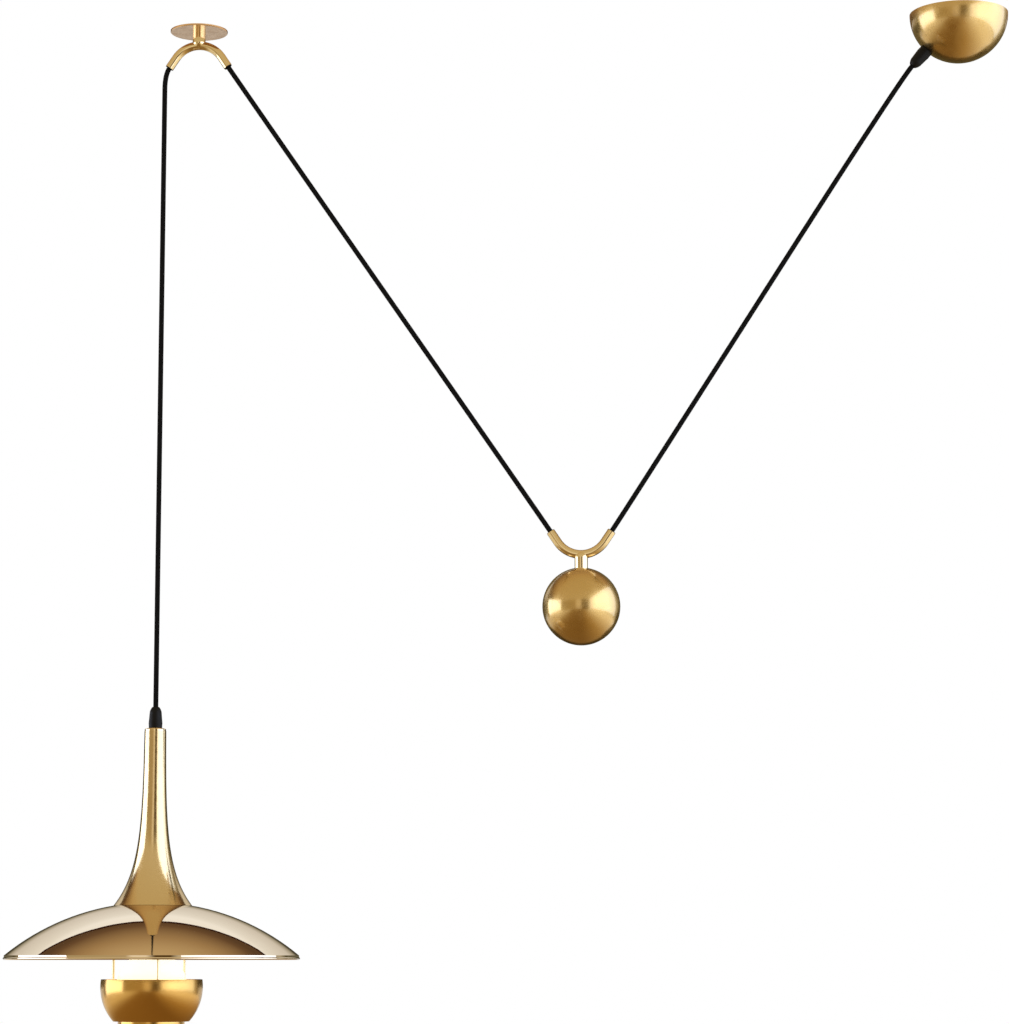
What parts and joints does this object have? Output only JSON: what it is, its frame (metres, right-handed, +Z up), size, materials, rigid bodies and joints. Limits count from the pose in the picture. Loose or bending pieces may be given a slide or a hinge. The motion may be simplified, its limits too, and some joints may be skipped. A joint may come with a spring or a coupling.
{
  "type": "rise and fall pendant lamp",
  "caption": "Rise and fall pendant: a dome shade with a trumpet neck and an under bowl hangs on a cord led over a ceiling bracket, balanced by a ball weight and fed from a domed canopy.",
  "frame": {"origin": "centre of the ceiling bracket disc's top face, on the ceiling, on the hanger hole's axis", "axes": "+Z up into the ceiling, +X along the ceiling from the bracket towards the canopy, -Y towards the viewer"},
  "size_m": [1.3753, 0.4, 1.3842],
  "materials": {
    "polished_brass": "polished",
    "satin_brass": "satin",
    "zinc_steel": "satin",
    "black_plastic": "matte",
    "white_plastic": "satin",
    "wire_jackets": "satin",
    "cast_iron": "matte",
    "porcelain": "gloss",
    "opal_glass": "gloss",
    "nickel_cap": "satin",
    "black_braid": "matte"
  },
  "bodies": {
    "fixed": {"bracket_disc": "polished_brass", "bracket_stud": "polished_brass", "bracket_tube": "polished_brass", "bracket_liners": "black_plastic", "canopy_shell": "polished_brass", "canopy_strap": "zinc_steel", "canopy_screws": "zinc_steel", "terminal_block": "white_plastic", "canopy_gland": "black_plastic", "canopy_gland_nut": "zinc_steel", "cord_tail": "black_braid", "tail_wires": "wire_jackets", "cord_in_bracket": "black_braid", "cord_drop": "black_braid", "cord_middle_leg": "black_braid", "cord_right_leg": "black_braid"},
    "counterweight": {"saddle_tube": "polished_brass", "saddle_liners": "black_plastic", "saddle_stud": "polished_brass", "ball_upper_half": "polished_brass", "ball_lower_half": "polished_brass", "seam_ring": "satin_brass", "ball_ballast": "cast_iron", "weight_rod": "zinc_steel", "weight_nuts": "zinc_steel", "ballast_spacer": "zinc_steel", "cord_in_saddle": "black_braid"},
    "lamp": {"lamp_gland": "black_plastic", "neck_cap": "polished_brass", "neck": "polished_brass", "stem_tube": "zinc_steel", "shade": "polished_brass", "spider": "zinc_steel", "support_rods": "satin_brass", "rod_nuts": "zinc_steel", "bowl": "satin_brass", "bowl_lugs": "satin_brass", "bowl_collar": "satin_brass", "collar_nut": "satin_brass", "stem_nut": "zinc_steel", "holder_cap": "black_plastic", "holder_skirt": "black_plastic", "holder_insert": "porcelain", "centre_contact": "satin_brass", "bulb_glass": "opal_glass", "bulb_cap": "nickel_cap"}
  },
  "joints": [
    {"name": "weight_travel", "type": "slide", "parent": "fixed", "child": "counterweight", "axis": [0, 0, 1], "range_m": [-0.27, 0.21], "deforming": ["cord_middle_leg", "cord_right_leg"]},
    {"name": "lamp_rise", "type": "slide", "parent": "fixed", "child": "lamp", "axis": [0, 0, 1], "range_m": [-0.35, 0.45], "deforming": ["cord_drop"]}
  ],
  "couplings": [
    {"joint": "lamp_rise", "follows": "weight_travel", "ratio": -1.664}
  ]
}
